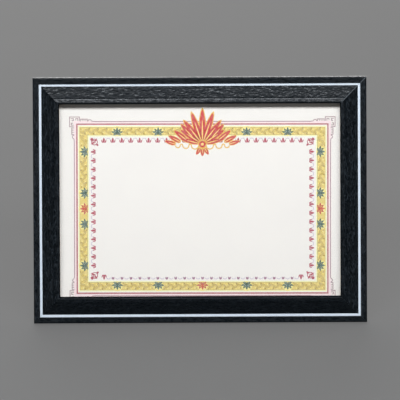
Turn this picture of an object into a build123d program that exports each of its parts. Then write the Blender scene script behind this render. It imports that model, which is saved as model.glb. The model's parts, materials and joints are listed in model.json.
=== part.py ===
from build123d import *
import os
from math import cos, radians, tan

# A certificate frame for one A4 sheet in landscape: a mitred black moulding with a white line round it,
# clear glazing, a fibreboard back held by turn buttons, a hanging ring, and a folding strut that stands it
# on a table. Millimetres, +Z up, the face towards -Y. Every piece is drawn on the upright frame, with its
# bottom edge at z = 0 and its back at y = 0. The whole frame is then leaned back onto its open strut.

# Sheets held in the rabbet
certificate_width = 297.0
certificate_height = 210.0
certificate_thickness = 0.25
panel_side_margin = 1.5  # glazing and backboard beyond the certificate, left and right
panel_end_margin = 0.25  # the same, above and below
glazing_thickness = 2.0
backboard_thickness = 3.0
rabbet_clearance = 0.5  # from the panels' edges to the rabbet

# Moulding section
face_width = 27.1  # outer edge to sight edge
lip_width = 6.6  # what covers the glazing's edge
outer_lip_height = 11.4  # back to the front of the outer lip
outer_lip_width = 6.3
inlay_width = 2.5
inlay_thickness = 0.8
inlay_clearance = 0.05  # beside the inlay, each side
inlay_recess = 1.8  # outer lip down to the inlay's face
face_step = 0.3  # inlay's face up to the start of the sloping face
face_tilt = 21.0  # degrees that the sloping face rises towards the ridge
nose_width = 5.5  # ridge to sight edge
land_tilt = 11.0  # degrees that the land between ridge and nose still rises
outer_edge_radius = 1.2
lip_edge_radius = 0.4
face_edge_radius = 0.4
ridge_radius = 9.0
nose_radius = 1.8

# Nails across the mitres
nail_leg = 6.0
nail_thickness = 0.5
nail_depth = 7.0
nail_clearance = 0.03
nail_insets = (6.0, 12.0)  # outer edge to each nail

# Turn buttons and their screws
button_width = 10.0
button_thickness = 1.0
button_edge_radius = 0.3
button_gap = 0.15  # above the moulding's back, and under the screw's head
button_setback = 6.0  # rabbet to pivot
button_hold = 7.5  # tip beyond the backboard's edge
button_end = 86.0  # frame's end to the pivots on the top and bottom rails
screw_radius = 1.4
screw_length = 9.0  # in the moulding
screw_clearance = 0.08  # in the button
screw_hole_clearance = 0.03  # in the moulding
screw_head_radius = 2.9
screw_head_height = 1.7
screw_head_round = 0.9
recess_length = 3.4
recess_width = 0.8
recess_depth = 0.9

# Strut and its hinge
lean_angle = 15.0  # degrees back from upright
strut_splay = 12.0  # degrees from plumb to the open strut
hinge_drop = 102.5  # top edge to the pin
hinge_width = 30.0
centre_knuckle_width = 13.0
knuckle_gap = 0.3  # between knuckles, and round them
leaf_thickness = 0.8
leaf_length = 17.0  # pin to the end of a leaf
pin_clearance = 0.05
pin_overhang = 0.4
stop_length = 8.0  # heel that meets the fixed leaf when the strut is open
stop_gap = 0.1
strut_thickness = 3.0
strut_gap = 0.4  # folded strut to the backboard
strut_shoulder = 3.0  # strut's top beyond the hinge, each side
strut_foot_width = 62.0
strut_corner_radius = 3.0
strut_spare = 6.0  # left on the blank for the foot's level cut

# Rivets
rivet_radius = 1.4
rivet_clearance = 0.05
rivet_head_radius = 2.5
rivet_head_height = 0.8
rivet_head_round = 0.6
rivet_flush_height = 0.6
leaf_rivet_margin = 4.0  # leaf's side to rivet
leaf_rivet_end = 5.5  # leaf's end to rivet

# Hanging ring and its strap
hanger_drop = 47.5  # top edge to the ring's bar
strap_thickness = 1.0
strap_width = 9.0
strap_rivet_drop = 5.5  # bar to rivet
ring_wire_radius = 1.0
ring_corner_radius = 2.5
ring_leg_angle = 61.0  # degrees from the bar to each leg
ring_play = 1.25  # bar's straight beyond the strap, each side
eye_clearance = 0.08

# Sizes that follow from those
panel_width = certificate_width + 2 * panel_side_margin
panel_height = certificate_height + 2 * panel_end_margin
rabbet_depth = glazing_thickness + certificate_thickness + backboard_thickness
rabbet_inset = face_width - lip_width
outer_width = panel_width + 2 * (rabbet_clearance + rabbet_inset)
outer_height = panel_height + 2 * (rabbet_clearance + rabbet_inset)
middle_height = outer_height / 2

groove_inner = outer_lip_width + inlay_width + 2 * inlay_clearance
inlay_face_height = outer_lip_height - inlay_recess
inlay_seat_height = inlay_face_height - inlay_thickness
face_start_height = inlay_face_height + face_step
ridge_inset = face_width - nose_width
ridge_height = face_start_height + (ridge_inset - groove_inner) * tan(radians(face_tilt))
nose_height = ridge_height + nose_width * tan(radians(land_tilt))
moulding_depth = max(outer_lip_height, nose_height)

button_inset = rabbet_inset - button_setback
button_reach = button_setback + rabbet_clearance + button_hold
button_spread = outer_width / 2 - button_end

opening_angle = lean_angle + strut_splay
hinge_height = outer_height - hinge_drop
knuckle_radius = (strut_gap + strut_thickness + leaf_thickness) / 2
pin_hole_radius = knuckle_radius - leaf_thickness
pin_radius = pin_hole_radius - pin_clearance
leaf_neck = knuckle_radius + knuckle_gap  # pin to where a leaf takes its full width
leaf_rivet_spread = hinge_width / 2 - leaf_rivet_margin
leaf_rivet_drop = leaf_length - leaf_rivet_end

hanger_height = outer_height - hanger_drop
eye_hole_radius = ring_wire_radius + eye_clearance
eye_radius = eye_hole_radius + strap_thickness
ring_half_width = strap_width / 2 + ring_play + ring_corner_radius / tan(radians(ring_leg_angle / 2))
ring_height = ring_half_width * tan(radians(ring_leg_angle))

# Places of the hinge, its rivets and the hanger on the upright frame
hinge_place = Pos(0, knuckle_radius, hinge_height)
hanger_place = Pos(0, eye_radius, hanger_height)
opened = hinge_place * Rot(opening_angle, 0, 0) * hinge_place.inverse()
board_grip = leaf_thickness + backboard_thickness
strut_grip = leaf_thickness + strut_thickness
strap_grip = strap_thickness + backboard_thickness
fixed_rivet_places = [
    Pos(across * leaf_rivet_spread, leaf_thickness, hinge_height + leaf_rivet_drop) for across in (-1, 1)
]
strut_rivet_places = [
    Pos(across * leaf_rivet_spread, 2 * knuckle_radius, hinge_height - leaf_rivet_drop) for across in (-1, 1)
]
strap_rivet_place = Pos(0, strap_thickness, hanger_height - strap_rivet_drop)

BACKWARD = Rot(-90, 0, 0)  # turns a piece drawn along +Z to stand out of the frame's back
ON_END = (Align.CENTER, Align.CENTER, Align.MIN)  # a cylinder that rises from z = 0
UNDER_END = (Align.CENTER, Align.CENTER, Align.MAX)  # a cylinder that goes down from z = 0
SIDES = {"bottom": 0, "top": 180, "left": 90, "right": -90}  # degrees round the frame from the bottom


def on_side(side):
    """The place of a piece that is drawn on the bottom rail, carried round the frame to the named side."""
    reach = middle_height if side in ("bottom", "top") else outer_width / 2
    return Pos(0, 0, middle_height) * Rot(0, SIDES[side], 0) * Pos(0, 0, -reach)


def side_length(side):
    """The moulding's length on that side, measured along its outer edge."""
    return outer_width if side in ("bottom", "top") else outer_height


def slab(points, near, far):
    """A flat outline in X and Z, made solid from y = near to y = far."""
    outline = make_face(Polyline(*points, close=True))
    return Pos(0, near, 0) * extrude(Plane.XZ * outline, amount=far - near, dir=(0, 1, 0))


def block(low, high):
    """A box between two opposite corners."""
    size = [b - a for a, b in zip(low, high)]
    return Pos(*low) * Box(*size, align=(Align.MIN, Align.MIN, Align.MIN))


def bar_along_x(radius, length):
    """A round bar along X, centred."""
    return Rot(0, 90, 0) * Cylinder(radius, length)


def moulding_section():
    """The moulding's section: x runs inward from the outer edge, y forward from the back."""
    front = FilletPolyline(
        (0, 0),
        (0, outer_lip_height),
        (outer_lip_width, outer_lip_height),
        (outer_lip_width, inlay_seat_height),
        (groove_inner, inlay_seat_height),
        (groove_inner, face_start_height),
        (ridge_inset, ridge_height),
        (face_width, nose_height),
        (face_width, rabbet_depth),
        radius=(outer_edge_radius, lip_edge_radius, 0, 0, face_edge_radius, ridge_radius, nose_radius),
    )
    back = Polyline((face_width, rabbet_depth), (rabbet_inset, rabbet_depth), (rabbet_inset, 0), (0, 0))
    return make_face(front + back)


def inlay_section():
    """The white strip's section, in the same axes as the moulding's."""
    low = outer_lip_width + inlay_clearance
    return Pos(low, inlay_seat_height) * Rectangle(
        inlay_width, inlay_thickness, align=(Align.MIN, Align.MIN)
    )


def mitred_length(section, length):
    """A section drawn out along X on the bottom rail and cut at 45 degrees at both ends."""
    start = Plane(origin=(-length / 2, 0, 0), x_dir=(0, 0, 1), z_dir=(1, 0, 0))
    bar = extrude(start * section, amount=length)
    half = length / 2
    inner = half - face_width
    ends = [(-half, 0), (half, 0), (inner, face_width), (-inner, face_width)]
    return bar & slab(ends, -moulding_depth, 0)


def corner_nail(across, up, inset, clearance=0.0):
    """One L-shaped nail over a mitre, driven in from the back. across and up are -1 or 1 for the corner."""
    near = inset - clearance
    inside = inset + nail_thickness + clearance
    far = inset + nail_leg + clearance
    outline = [(near, near), (far, near), (far, inside), (inside, inside), (inside, far), (near, far)]
    points = [
        (across * (outer_width / 2 - a), middle_height + up * (middle_height - b)) for a, b in outline
    ]
    return slab(points, -nail_depth, 0)


def corner_nails(clearance=0.0):
    """Every corner nail, or its slot where a clearance is given."""
    return [
        corner_nail(across, up, inset, clearance)
        for across in (-1, 1)
        for up in (-1, 1)
        for inset in nail_insets
    ]


def button_places():
    """Name and place of each turn button's pivot, drawn on the bottom rail with the tip towards +Z."""
    stations = [
        ("bottom", "left", -button_spread),
        ("bottom", "right", button_spread),
        ("top", "left", button_spread),
        ("top", "right", -button_spread),
        ("left", "", 0),
        ("right", "", 0),
    ]
    return {
        "_".join(filter(None, ["turn_button", side, end])): on_side(side) * Pos(along, 0, button_inset)
        for side, end, along in stations
    }


def turn_button():
    """A flat steel button with round ends, turning on a hole at one of them."""
    span = button_reach - button_width / 2
    outline = Rot(0, 0, 90) * SlotCenterToCenter(span, button_width)
    plate = extrude(Pos(0, -span / 2) * outline, amount=button_thickness)
    plate = fillet(plate.edges().group_by(Axis.Z)[-1], button_edge_radius)
    plate -= Cylinder(screw_radius + screw_clearance, 2 * button_thickness, align=ON_END)
    return Pos(0, button_gap, 0) * BACKWARD * plate


def button_screw():
    """A round-headed screw with a cross recess, its shank in the moulding."""
    seat = button_thickness + 2 * button_gap
    head = Pos(0, 0, seat) * Cylinder(screw_head_radius, screw_head_height, align=ON_END)
    head = fillet(head.edges().group_by(Axis.Z)[-1], screw_head_round)
    top = seat + screw_head_height
    arm = Pos(0, 0, top) * Box(recess_length, recess_width, 2 * recess_depth)
    shank = Pos(0, 0, seat) * Cylinder(screw_radius, screw_length + seat, align=UNDER_END)
    return BACKWARD * (head - arm - Rot(0, 0, 90) * arm + shank)


def screw_hole():
    """The screw's hole in the moulding."""
    return BACKWARD * Cylinder(screw_radius + screw_hole_clearance, screw_length, align=UNDER_END)


def rivet(grip):
    """A rivet standing out of y = 0: a domed head behind it, and a flush head at the end of its grip."""
    dome = Cylinder(rivet_head_radius, rivet_head_height, align=ON_END)
    dome = fillet(dome.edges().group_by(Axis.Z)[-1], rivet_head_round)
    shank = Cylinder(rivet_radius, grip, align=UNDER_END)
    flush = Pos(0, 0, -grip) * Cylinder(rivet_head_radius, rivet_flush_height, align=ON_END)
    return BACKWARD * (dome + shank + flush)


def rivet_hole(grip):
    """The clearance hole for a rivet, with the counterbore that its flush head lies in."""
    shank = Cylinder(rivet_radius + rivet_clearance, grip, align=UNDER_END)
    counterbore = Cylinder(rivet_head_radius + rivet_clearance, rivet_flush_height, align=ON_END)
    return BACKWARD * (shank + Pos(0, 0, -grip) * counterbore)


def panel(width, height, back, thickness):
    """A flat sheet centred in the frame, from y = back towards the face."""
    return Pos(0, back, middle_height) * Box(
        width, thickness, height, align=(Align.CENTER, Align.MAX, Align.CENTER)
    )


def backboard():
    """The fibreboard back, drilled for the hinge's and the hanger's rivets."""
    board = panel(panel_width, panel_height, 0, backboard_thickness)
    for place in fixed_rivet_places:
        board -= place * rivet_hole(board_grip)
    return board - strap_rivet_place * rivet_hole(strap_grip)


def hinge_fixed_leaf():
    """The leaf on the backboard: two outer knuckles, and a plate that rises from them."""
    half = hinge_width / 2
    inner = centre_knuckle_width / 2 + knuckle_gap
    near, far = -knuckle_radius, leaf_thickness - knuckle_radius
    leaf = block((-half, near, leaf_neck), (half, far, leaf_length))
    for across in (-1, 1):
        low, high = sorted((across * inner, across * half))
        knuckle = Pos((low + high) / 2, 0, 0) * bar_along_x(knuckle_radius, half - inner)
        leaf += knuckle + block((low, near, 0), (high, far, leaf_neck))
    leaf -= bar_along_x(pin_hole_radius, 2 * hinge_width)
    leaf = hinge_place * leaf
    for place in fixed_rivet_places:
        leaf -= place * rivet_hole(board_grip)
    return leaf


def hinge_moving_leaf():
    """The leaf on the strut: the middle knuckle, a plate down the strut, and a heel that stops it open."""
    half, inner = hinge_width / 2, centre_knuckle_width / 2
    near, far = knuckle_radius - leaf_thickness, knuckle_radius
    leaf = block((-half, near, -leaf_length), (half, far, -leaf_neck))
    leaf += block((-inner, near, -leaf_neck), (inner, far, 0))
    leaf = hinge_place * leaf
    for place in strut_rivet_places:
        leaf -= place * rivet_hole(strut_grip)
    heel_face = leaf_thickness - knuckle_radius + stop_gap
    heel = block((-inner, heel_face, 0), (inner, heel_face + leaf_thickness, stop_length))
    knuckle = bar_along_x(knuckle_radius, centre_knuckle_width)
    bore = bar_along_x(pin_hole_radius, 2 * hinge_width)
    return opened * leaf + hinge_place * (heel + knuckle) - hinge_place * bore


def easel_strut():
    """The strut's blank in its open place: a tapered board, still to be cut level at the foot."""
    top = hinge_height - leaf_neck
    foot = hinge_height - hinge_height / cos(radians(strut_splay)) - strut_spare
    top_half, foot_half = hinge_width / 2 + strut_shoulder, strut_foot_width / 2
    outline = make_face(
        Polyline((-foot_half, foot), (foot_half, foot), (top_half, top), (-top_half, top), close=True)
    )
    outline = fillet(outline.vertices().group_by(Axis.Y)[-1], strut_corner_radius)
    blank = extrude(Plane.XZ * outline, amount=strut_thickness, dir=(0, 1, 0))
    blank = Pos(0, strut_gap, 0) * blank
    for place in strut_rivet_places:
        blank -= place * rivet_hole(strut_grip)
    return opened * blank


def hanger_strap():
    """The strap on the backboard, rolled into an eye round the ring's bar."""
    half = strap_width / 2
    plate = block((-half, -eye_radius, -strap_rivet_drop), (half, strap_thickness - eye_radius, 0))
    tip = BACKWARD * Cylinder(half, strap_thickness, align=ON_END)
    eye = bar_along_x(eye_radius, strap_width)
    bore = bar_along_x(eye_hole_radius, 2 * strap_width)
    strap = plate + Pos(0, -eye_radius, -strap_rivet_drop) * tip + eye - bore
    return hanger_place * strap - strap_rivet_place * rivet_hole(strap_grip)


def hanger_ring():
    """The triangular wire ring, hanging plumb from the strap's eye once the frame leans."""
    path = FilletPolyline(
        (-ring_half_width, 0),
        (ring_half_width, 0),
        (0, -ring_height),
        radius=ring_corner_radius,
        close=True,
    )
    path = Plane.XZ * path
    section = Plane(origin=path @ 0, z_dir=path % 0) * Circle(ring_wire_radius)
    return hanger_place * Rot(lean_angle, 0, 0) * sweep(section, path=path)


def moulding_sides():
    """The four mitred mouldings, slotted for the nails and drilled for the screws."""
    section = moulding_section()
    slots = corner_nails(nail_clearance)
    holes = [place * screw_hole() for place in button_places().values()]
    names = {"bottom": "bottom_rail", "top": "top_rail", "left": "left_stile", "right": "right_stile"}
    return {
        name: on_side(side) * mitred_length(section, side_length(side)) - slots - holes
        for side, name in names.items()
    }


def inlays():
    """The four mitred lengths of the white line."""
    section = inlay_section()
    return {f"inlay_{side}": on_side(side) * mitred_length(section, side_length(side)) for side in SIDES}


def upright_pieces():
    """Every piece by name, on the upright frame."""
    glazing_back = -backboard_thickness - certificate_thickness
    pieces = {
        **moulding_sides(),
        **inlays(),
        "corner_nails": Compound(corner_nails()),
        "glazing": panel(panel_width, panel_height, glazing_back, glazing_thickness),
        "certificate": panel(
            certificate_width, certificate_height, -backboard_thickness, certificate_thickness
        ),
        "backboard": backboard(),
        "button_screws": Compound([place * button_screw() for place in button_places().values()]),
        "hinge_fixed_leaf": hinge_fixed_leaf(),
        "hinge_moving_leaf": hinge_moving_leaf(),
        "hinge_pin": hinge_place * bar_along_x(pin_radius, hinge_width + 2 * pin_overhang),
        "fixed_leaf_rivets": Compound([place * rivet(board_grip) for place in fixed_rivet_places]),
        "strut_rivets": Compound([opened * place * rivet(strut_grip) for place in strut_rivet_places]),
        "easel_strut": easel_strut(),
        "hanger_strap": hanger_strap(),
        "hanger_ring": hanger_ring(),
        "hanger_rivet": strap_rivet_place * rivet(strap_grip),
    }
    for name, place in button_places().items():
        pieces[name] = place * turn_button()
    return pieces


def standing_pieces():
    """Every piece by name, leaned back, with the strut's foot cut level and the origin under the middle."""
    pieces = {name: Rot(-lean_angle, 0, 0) * piece for name, piece in upright_pieces().items()}
    above_table = Pos(0, 0, outer_height) * Box(2 * outer_width, 4 * outer_height, 2 * outer_height)
    pieces["easel_strut"] = pieces["easel_strut"] & above_table
    box = Compound([solid for piece in pieces.values() for solid in piece.solids()]).bounding_box()
    centring = Pos(0, -(box.min.Y + box.max.Y) / 2, 0)
    return {name: centring * piece for name, piece in pieces.items()}


parts = standing_pieces()
os.makedirs("parts", exist_ok=True)
for node, piece in parts.items():
    export_step(piece, f"parts/{node}.step")
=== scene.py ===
# A certificate frame that leans on its strut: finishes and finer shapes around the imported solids.
# Lengths are millimetres on the upright frame: x to the right, y to the back, z up, the bottom edge
# at z = 0 and the back at y = 0. STANDING carries that frame to its leaning place in metres.
import json
from itertools import product
from math import asin, cos, pi, radians, sin, tan

import bmesh
import bpy
from mathutils import Matrix, Vector, noise


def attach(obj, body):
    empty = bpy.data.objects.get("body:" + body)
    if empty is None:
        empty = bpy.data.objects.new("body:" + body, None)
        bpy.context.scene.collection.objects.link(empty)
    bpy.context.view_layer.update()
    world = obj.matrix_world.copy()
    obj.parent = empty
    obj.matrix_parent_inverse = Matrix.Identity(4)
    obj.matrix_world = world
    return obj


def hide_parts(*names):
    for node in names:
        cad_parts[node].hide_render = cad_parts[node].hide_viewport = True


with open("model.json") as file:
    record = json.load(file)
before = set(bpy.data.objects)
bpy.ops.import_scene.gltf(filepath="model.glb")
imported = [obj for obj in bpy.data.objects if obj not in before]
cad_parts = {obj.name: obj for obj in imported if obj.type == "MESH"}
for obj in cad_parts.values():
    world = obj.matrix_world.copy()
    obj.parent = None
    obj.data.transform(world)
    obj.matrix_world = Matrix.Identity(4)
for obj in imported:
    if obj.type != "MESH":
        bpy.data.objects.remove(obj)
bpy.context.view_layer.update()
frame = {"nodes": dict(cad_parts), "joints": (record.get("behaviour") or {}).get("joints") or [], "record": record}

NODES = frame["nodes"]


# Measures taken from the frame
def turned_box(node, turn):
    """The lowest and highest corner of a node's solid after a turn."""
    points = [turn @ vertex.co for vertex in NODES[node].data.vertices]
    low = Vector(min(point[axis] for point in points) for axis in range(3))
    high = Vector(max(point[axis] for point in points) for axis in range(3))
    return low, high


pivot = next(joint for joint in frame["joints"] if joint["name"] == "turn_button_left_pivot")
LEAN = asin(-pivot["axis"][2])
LEANING = Matrix.Rotation(-LEAN, 4, "X")
rail_low, rail_high = turned_box("bottom_rail", LEANING.inverted())
STANDING = LEANING @ Matrix.Translation((0, rail_high.y, rail_low.z)) @ Matrix.Scale(0.001, 4)


def upright_box(node):
    return turned_box(node, STANDING.inverted())


bottom_low, bottom_high = upright_box("bottom_rail")
top_high = upright_box("top_rail")[1]
glazing_low, glazing_high = upright_box("glazing")
inlay_low, inlay_high = upright_box("inlay_bottom")
OUTER_WIDTH = bottom_high.x - bottom_low.x
OUTER_HEIGHT = top_high.z
MIDDLE_HEIGHT = OUTER_HEIGHT / 2
FACE_WIDTH = bottom_high.z
PAPER_FRONT = upright_box("certificate")[0].y

# Moulding section, as in the solids
LIP_COVER = 6.6
RABBET_INSET = FACE_WIDTH - LIP_COVER
INLAY_CLEARANCE = 0.05
RABBET_DEPTH = -glazing_low.y
OUTER_LIP_WIDTH = inlay_low.z - INLAY_CLEARANCE
GROOVE_INNER = inlay_high.z + INLAY_CLEARANCE
INLAY_SEAT_HEIGHT = -inlay_high.y
INLAY_RECESS = 1.8
OUTER_LIP_HEIGHT = INLAY_RECESS - inlay_low.y
FACE_STEP = 0.3
FACE_START_HEIGHT = FACE_STEP - inlay_low.y
FACE_TILT = radians(21)
NOSE_WIDTH = 5.5
RIDGE_INSET = FACE_WIDTH - NOSE_WIDTH
LAND_TILT = radians(11)
OUTER_EDGE_RADIUS = 1.2
LIP_EDGE_RADIUS = 0.4
FACE_EDGE_RADIUS = 0.4
RIDGE_RADIUS = 9.0
NOSE_RADIUS = 1.8
RIDGE_HEIGHT = FACE_START_HEIGHT + (RIDGE_INSET - GROOVE_INNER) * tan(FACE_TILT)
NOSE_HEIGHT = RIDGE_HEIGHT + NOSE_WIDTH * tan(LAND_TILT)
ROUND_STEPS = 6
MITRE_GAP = 0.04  # left at each end, so that the joint shows as a hairline
WORN_WIDTH = 0.32  # of the stain knocked off on each side of the worn mitre
WORN_DEPTH = 0.12
WORN_ENDS = {"top": -1, "right": 1}  # the two ends that meet at the top right, as drawn on the bottom side
POLISHED_WIDTH = 0.9  # of the ridge that handling has polished, each side of its middle
STAINED, BARE, SIGHT_EDGE, WORN, POLISHED = range(5)  # material slots of a moulding
TOUCHING = 0.01  # what lies this close to a plane counts as on it
FRONT_FACING = -0.5  # a normal's y below which a face looks to the front
WORN_FACING = -0.3  # the same for the stain that wears off beside a mitre
OUTSIDE_FACING = -0.9  # a normal's z below which a face looks away from the picture
SIGHT_FACING = 0.25  # a normal's z above which a face past the ridge belongs to the sight edge

# Open grain cut into the moulding's face
GRAIN_ACROSS = 0.35  # mesh across the grain
GRAIN_ALONG = 0.9  # mesh along the grain
STREAK_WIDTH = 0.78
STREAK_LENGTH = 4.5
SWAY_WIDTH = 3.0
SWAY_LENGTH = 4.0
SWAY = 1.6
LIP_GRAIN = 0.04  # depth of the grain on the outer lip
FACE_GRAIN = 0.38  # on the sloping face
LAND_GRAIN = 0.05  # between ridge and sight edge
GRAIN_CHANGE = 1.5  # the depth goes over from one to the next in this width
GRAIN_START = 1.0  # the back's edge stays clean this far forward
GRAIN_FADE = 3.0
STREAK_SEED = 0.5  # sets the noise of the streaks apart from that of their sway
SEED_STEP = 11  # from one moulding to the next

# An edge that bends by more than this is shaded sharp
ROUND_SHADED = radians(35)
FLAT_SHADED = radians(20)  # keeps a sheet's flat faces flat beside its rounded edges

SIDES = {"bottom": 0, "top": 180, "left": 90, "right": -90}  # degrees round the frame from the bottom
MOULDINGS = {"bottom": "bottom_rail", "top": "top_rail", "left": "left_stile", "right": "right_stile"}


# Shared helpers
def linear(red, green, blue):
    """A colour given in 0 to 255 screen values, as the shader takes it."""
    shares = (red / 255, green / 255, blue / 255)
    curved = [share / 12.92 if share <= 0.04045 else ((share + 0.055) / 1.055) ** 2.4 for share in shares]
    return (*curved, 1)


def link(name, mesh):
    piece = bpy.data.objects.new(name, mesh)
    bpy.context.scene.collection.objects.link(piece)
    return piece


def is_level(side):
    return side in ("top", "bottom")


def of_side(side, pair):
    """The first of a pair on the top and bottom sides, the second on the left and right."""
    return pair[0] if is_level(side) else pair[1]


def add_box(bm, middle, size):
    matrix = Matrix.Translation(middle) @ Matrix.Diagonal((*size, 1))
    bmesh.ops.create_cube(bm, size=1, matrix=matrix)


def finished(name, bm, materials, replaced=(), body="frame", place=STANDING, smooth=ROUND_SHADED):
    """Makes a piece of a mesh built on the upright frame, and has it ride on its body."""
    bmesh.ops.transform(bm, matrix=place, verts=bm.verts)
    bmesh.ops.recalc_face_normals(bm, faces=bm.faces)
    mesh = bpy.data.meshes.new(name)
    bm.to_mesh(mesh)
    bm.free()
    for material in materials:
        mesh.materials.append(material)
    mesh.shade_smooth()
    mesh.set_sharp_from_angle(angle=smooth)
    piece = link(name, mesh)
    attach(piece, body)
    if replaced:
        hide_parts(*replaced)
    return piece


# Shader helpers
NOISE_MIDDLE = 0.5
MIX_FIRST = 6  # colour sockets of a Mix node
MIX_SECOND = 7
MIX_RESULT = 2


def add(tree, kind, inputs=None, **settings):
    """A new node with its settings, and with values or links on its inputs."""
    made = tree.nodes.new(kind)
    for key, value in settings.items():
        setattr(made, key, value)
    for socket, value in (inputs or {}).items():
        if isinstance(value, bpy.types.NodeSocket):
            tree.links.new(value, made.inputs[socket])
        else:
            made.inputs[socket].default_value = value
    return made


def upright_place(tree, stretch):
    """Object coordinates turned upright, in millimetres, each divided by its stretch."""
    coordinates = add(tree, "ShaderNodeTexCoord").outputs["Object"]
    upright = add(
        tree,
        "ShaderNodeMapping",
        {"Vector": coordinates, "Rotation": (LEAN, 0, 0), "Scale": (1000, 1000, 1000)},
    )
    scale = tuple(1 / length for length in stretch)
    return add(tree, "ShaderNodeMapping", {"Vector": upright.outputs[0], "Scale": scale}).outputs[0]


def new_group(name, inputs, outputs):
    """An empty node group with float sockets, but a vector where an input is named Vector."""
    group = bpy.data.node_groups.new(name, "ShaderNodeTree")
    for label, value in inputs.items():
        kind = "NodeSocketVector" if label == "Vector" else "NodeSocketFloat"
        socket = group.interface.new_socket(label, in_out="INPUT", socket_type=kind)
        if kind == "NodeSocketFloat":
            socket.default_value = value
    for label in outputs:
        group.interface.new_socket(label, in_out="OUTPUT", socket_type="NodeSocketFloat")
    return group, add(group, "NodeGroupInput"), add(group, "NodeGroupOutput")


def mottle_group():
    """Soft uneven patches: a mask from 0 to 1."""
    group, given, result = new_group("Mottle", {"Vector": None, "Detail": 3, "Contrast": 2}, ["Mask"])
    cloud = add(
        group,
        "ShaderNodeTexNoise",
        {
            "Vector": given.outputs["Vector"],
            "Scale": 1,
            "Detail": given.outputs["Detail"],
            "Roughness": 0.6,
        },
    )
    centred = add(group, "ShaderNodeMath", {0: cloud.outputs[0], 1: NOISE_MIDDLE}, operation="SUBTRACT")
    spread = add(
        group,
        "ShaderNodeMath",
        {0: centred.outputs[0], 1: given.outputs["Contrast"], 2: NOISE_MIDDLE},
        operation="MULTIPLY_ADD",
        use_clamp=True,
    )
    group.links.new(spread.outputs[0], result.inputs["Mask"])
    return group


def scratch_group():
    """Thin broken lines along the axis that is stretched most: a mask that is 1 on a line."""
    group, given, result = new_group("Scratches", {"Vector": None, "Amount": 0.06}, ["Mask"])
    lines = add(
        group,
        "ShaderNodeTexNoise",
        {"Vector": given.outputs["Vector"], "Scale": 1, "Detail": 2, "Roughness": 0.7, "Distortion": 0.4},
    )
    centred = add(group, "ShaderNodeMath", {0: lines.outputs[0], 1: NOISE_MIDDLE}, operation="SUBTRACT")
    distance = add(group, "ShaderNodeMath", {0: centred.outputs[0]}, operation="ABSOLUTE")
    share = add(
        group,
        "ShaderNodeMath",
        {0: distance.outputs[0], 1: given.outputs["Amount"]},
        operation="DIVIDE",
        use_clamp=True,
    )
    mask = add(group, "ShaderNodeMath", {0: 1, 1: share.outputs[0]}, operation="SUBTRACT", use_clamp=True)
    group.links.new(mask.outputs[0], result.inputs["Mask"])
    return group


MOTTLE = mottle_group()
SCRATCHES = scratch_group()


def mottle(tree, stretch, detail, contrast):
    """The mask of the patches, stretched to a length in millimetres on each axis."""
    inputs = {"Vector": upright_place(tree, stretch), "Detail": detail, "Contrast": contrast}
    return add(tree, "ShaderNodeGroup", inputs, node_tree=MOTTLE).outputs["Mask"]


def scratches(tree, stretch, amount):
    """The mask of the lines, stretched in the same way."""
    inputs = {"Vector": upright_place(tree, stretch), "Amount": amount}
    return add(tree, "ShaderNodeGroup", inputs, node_tree=SCRATCHES).outputs["Mask"]


def mixed(tree, mask, first, second):
    """A colour that goes from the first to the second as the mask goes from 0 to 1."""
    inputs = {"Factor": mask, MIX_FIRST: first, MIX_SECOND: second}
    return add(tree, "ShaderNodeMix", inputs, data_type="RGBA").outputs[MIX_RESULT]


def ranged(tree, mask, low, high):
    """A value that goes from low to high as the mask goes from 0 to 1."""
    return add(tree, "ShaderNodeMapRange", {"Value": mask, "To Min": low, "To Max": high}).outputs[0]


def bumped(tree, height, depth):
    """A normal from a height of 0 to 1 that stands for a relief of that depth in millimetres."""
    inputs = {"Height": height, "Distance": depth / 1000, "Strength": 1}
    return add(tree, "ShaderNodeBump", inputs).outputs[0]


def new_material(name, **constants):
    """A material with its Principled shader, and constants set on the shader's own sockets."""
    material = bpy.data.materials.new(name)
    material.use_nodes = True
    shader = material.node_tree.nodes["Principled BSDF"]
    for socket, value in constants.items():
        shader.inputs[socket.replace("_", " ")].default_value = value
    return material, material.node_tree, shader.inputs


def feed(tree, inputs, **sources):
    for socket, source in sources.items():
        tree.links.new(source, inputs[socket.replace("_", " ")])


# Finishes: colours in pairs go from the first to the second as a pattern's mask goes from 0 to 1
STAIN_TONES = (linear(6, 10, 13), linear(13, 18, 22))
# pale colour of the thin lines: rubbed wear, and a painted highlight of grain catching the light
STAIN_RUBBED_AND_SHEEN = linear(54, 60, 66)
LEVEL_RUBBED_AND_SHEEN = 0.25  # how far the pale lines show on a level moulding: rubbed wear, with a little painted highlight
# more on the uprights, where the pale lines are mostly painted highlight of grain catching the light
UPRIGHT_RUBBED_AND_SHEEN = 0.6
SATIN = (0.6, 0.23)  # roughness in the pores and between them
POLISH = (0.36, 0.16)  # the same where handling has polished the ridge
SIGHT_TONES = (linear(9, 12, 15), linear(14, 18, 22))
FILLER_TONES = (linear(98, 103, 106), linear(66, 71, 75))
WOOD_RINGS = (linear(150, 112, 72), linear(188, 150, 104))
WOOD_FIBRE = linear(120, 86, 54)
WOOD_SOAKED = linear(40, 33, 28)
LINE_TONES = (linear(225, 233, 242), linear(214, 223, 233))
GLASS_TINT = (0.985, 0.995, 0.99, 1)
PAPER_TONES = (linear(252, 243, 233), linear(248, 239, 230))
INK_FADE = 0.16  # share by which an ink fades towards the paper
INK_GROUND = 0.9  # the paper that it fades towards
BOARD_TONES = (linear(142, 104, 68), linear(158, 118, 79))
BOARD_FELT = linear(112, 79, 50)
BOARD_SPECKS = linear(70, 48, 31)
STEEL_MARKS = linear(236, 236, 232)


def grain_stretch(upright, across, along):
    """How far grain reaches on each axis: along z on an upright moulding, along x on a level one."""
    return (across, across, along) if upright else (along, across, across)


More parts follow.
